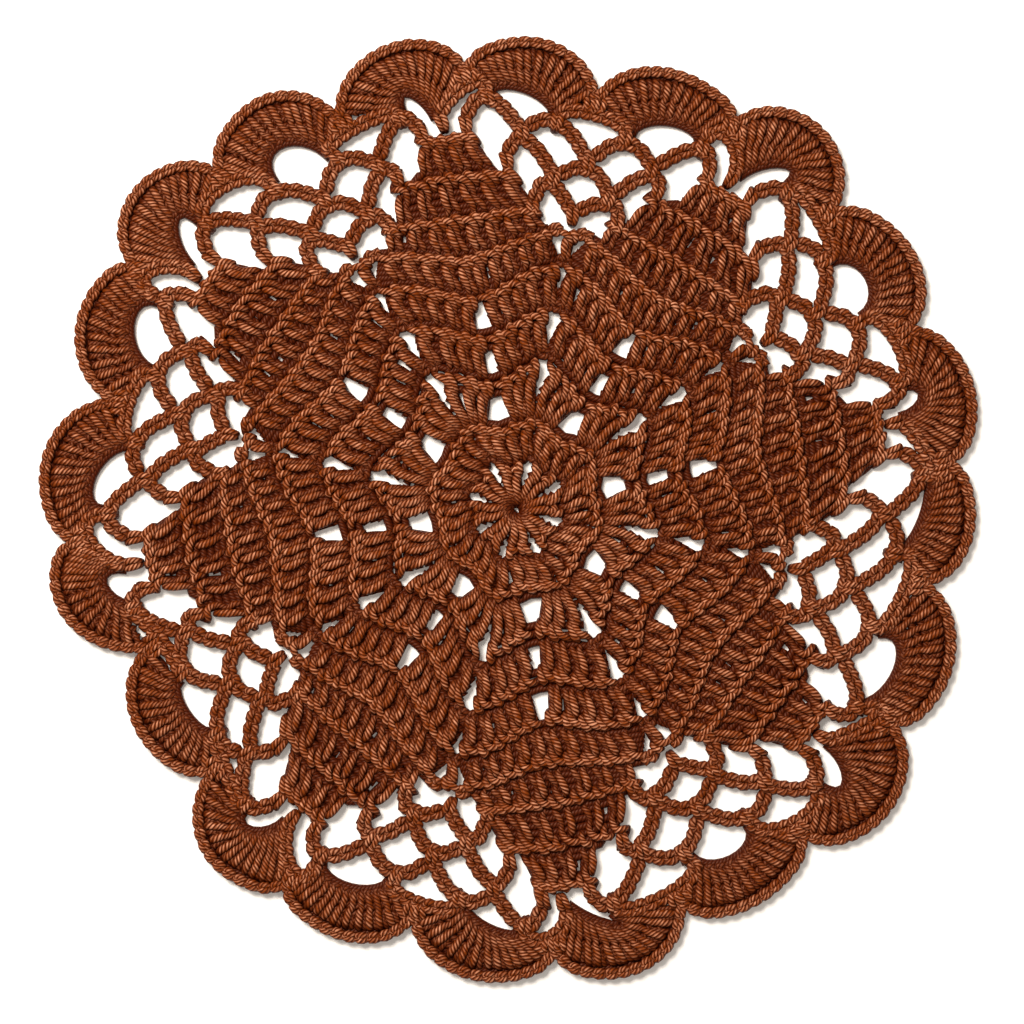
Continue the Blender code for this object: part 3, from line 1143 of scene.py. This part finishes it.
class DoilySettings(bpy.types.PropertyGroup):
    """Sizes and colours of the doily."""

    yarn_width: length_setting("Yarn Width", "Width of the crochet cotton", 2.0 * YARN_RADIUS * MM)
    plies: bpy.props.IntProperty(
        name="Plies", description="Number of plies twisted together", default=4, min=2)
    lead: bpy.props.FloatProperty(
        name="Twist Length", description="Length in mm of one full turn of the plies",
        default=4.2, min=1.0)
    yarn_colour: colour_setting("Yarn Colour", "Colour of the plies", (0.178, 0.030, 0.0015))
    # The painted lustre: a painted highlight on the crowns of the plies.
    painted_lustre_colour: colour_setting(
        "Lustre Colour", "Colour of the plies where they shine", (0.57, 0.24, 0.125))
    # The painted shade: the dark colour of the creases between the plies and of yarn low among the
    # stitches.
    painted_shade_colour: colour_setting(
        "Crease Colour", "Colour between the plies", (0.042, 0.0038, 0.0002))


class StageSettings(bpy.types.PropertyGroup):
    """The table and its light."""

    view_width: length_setting("View Width", "Width of the table that the camera sees", 0.2867)
    camera_height: length_setting("Camera Height", "Height of the camera over the table", 1.2)
    floor_colour: colour_setting("Table Colour", "Colour of the table", (0.93, 0.85, 0.76))


# ---- operators

def rounds(*numbers):
    """Return the strands of these rounds."""
    strands = []
    for number in numbers:
        strands.append(work_round(number))
        strands += back_cords(number)
    return strands


class DOILY_OT_heart(bpy.types.Operator):
    """Work the first four rounds"""

    bl_idname = "doily.heart"
    bl_label = "Heart"

    def execute(self, context):
        yarn_piece("heart", rounds(1, 2, 3, 4) + [first_ring()], context.scene.doily)
        return {"FINISHED"}


class DOILY_OT_outer_rounds(bpy.types.Operator):
    """Work the fifth and sixth rounds"""

    bl_idname = "doily.outer_rounds"
    bl_label = "Outer Rounds"

    def execute(self, context):
        yarn_piece("outer_rounds", rounds(5, 6), context.scene.doily)
        return {"FINISHED"}


class DOILY_OT_leaves(bpy.types.Operator):
    """Work the rounds that narrow the eight leaves, with the net between them"""

    bl_idname = "doily.leaves"
    bl_label = "Leaves and Net"

    def execute(self, context):
        yarn_piece("leaves", rounds(7, 8), context.scene.doily)
        yarn_piece("leaf_tips", rounds(9), context.scene.doily)
        return {"FINISHED"}


class DOILY_OT_border(bpy.types.Operator):
    """Work the shells on the last ring of loops, and the rim"""

    bl_idname = "doily.border"
    bl_label = "Border"

    def execute(self, context):
        yarn_piece("rim", [rim()] + rim_cords() + shell_cords(), context.scene.doily)
        strands = [last_net_round(), border_round(), yarn_end()] + arch_cords()
        shells = yarn_piece("shells", strands, context.scene.doily)
        return {"FINISHED"}


class DOILY_OT_stage(bpy.types.Operator):
    """Lay the table and set the lights and the camera"""

    bl_idname = "doily.stage"
    bl_label = "Table and Light"

    def execute(self, context):
        settings = context.scene.doily_stage
        make_table(settings)
        make_light("window", WINDOW_PLACE, WINDOW_SIZE, WINDOW_POWER)
        make_world()
        make_camera(settings)
        context.scene.view_settings.view_transform = "Standard"
        return {"FINISHED"}


def make_table(settings):
    """Make the plain pale table under the doily."""
    work = bmesh.new()
    bmesh.ops.create_grid(work, x_segments=1, y_segments=1, size=TABLE_SIZE)
    mesh = bpy.data.meshes.new("table")
    work.to_mesh(mesh)
    work.free()
    table_top = bpy.data.objects.new("table", mesh)
    bpy.context.collection.objects.link(table_top)
    shader = Shader("table_white")
    mesh.materials.append(shader.finish({
        "Base Color": settings.floor_colour,
        "Roughness": TABLE_ROUGHNESS,
        "Emission Color": settings.floor_colour,
        "Emission Strength": TABLE_GLOW,
    }))


def make_light(name, place, size, power):
    """Hang a soft square light, turned to the doily."""
    lamp = bpy.data.lights.new(name, "AREA")
    lamp.size = size
    lamp.energy = power
    holder = bpy.data.objects.new(name, lamp)
    holder.location = place
    holder.rotation_euler = Vector(place).to_track_quat("Z", "Y").to_euler()
    bpy.context.collection.objects.link(holder)


def make_world():
    """Light everything softly from all around."""
    world = bpy.data.worlds.new("soft_white")
    world.use_nodes = True
    background = world.node_tree.nodes["Background"]
    background.inputs["Color"].default_value = (1.0, 1.0, 1.0, 1.0)
    background.inputs["Strength"].default_value = SKY_STRENGTH
    bpy.context.scene.world = world


def make_camera(settings):
    """Look straight down with a long lens."""
    lens = bpy.data.cameras.new("camera")
    lens.sensor_width = SENSOR_WIDTH
    lens.lens = SENSOR_WIDTH * settings.camera_height / settings.view_width
    lens.clip_end = 20.0
    camera = bpy.data.objects.new("camera", lens)
    camera.location = (CAMERA_PLACE[0] * MM, CAMERA_PLACE[1] * MM, settings.camera_height)
    bpy.context.collection.objects.link(camera)
    bpy.context.scene.camera = camera


class DOILY_PT_panel(bpy.types.Panel):
    """Lists the steps of the doily"""

    bl_idname = "DOILY_PT_panel"
    bl_label = "Doily"
    bl_space_type = "VIEW_3D"
    bl_region_type = "UI"
    bl_category = "Doily"

    def draw(self, context):
        for key in ("yarn_width", "plies", "lead", "yarn_colour", "painted_lustre_colour", "painted_shade_colour"):
            self.layout.prop(context.scene.doily, key)
        for key in ("view_width", "camera_height", "floor_colour"):
            self.layout.prop(context.scene.doily_stage, key)
        for kind in OPERATORS:
            self.layout.operator(kind.bl_idname)


OPERATORS = (
    DOILY_OT_heart, DOILY_OT_outer_rounds, DOILY_OT_leaves, DOILY_OT_border, DOILY_OT_stage,
)
CLASSES = (DoilySettings, StageSettings) + OPERATORS + (DOILY_PT_panel,)


def register():
    """Register the classes and hang the settings on the scene."""
    for kind in CLASSES:
        bpy.utils.register_class(kind)
    bpy.types.Scene.doily = bpy.props.PointerProperty(type=DoilySettings)
    bpy.types.Scene.doily_stage = bpy.props.PointerProperty(type=StageSettings)


def unregister():
    """Undo what register does."""
    del bpy.types.Scene.doily_stage
    del bpy.types.Scene.doily
    for kind in reversed(CLASSES):
        bpy.utils.unregister_class(kind)


def main():
    """Build the doily."""
    register()
    bpy.ops.doily.heart()
    bpy.ops.doily.outer_rounds()
    bpy.ops.doily.leaves()
    bpy.ops.doily.border()
    bpy.ops.doily.stage()


if __name__ == "__main__":
    main()
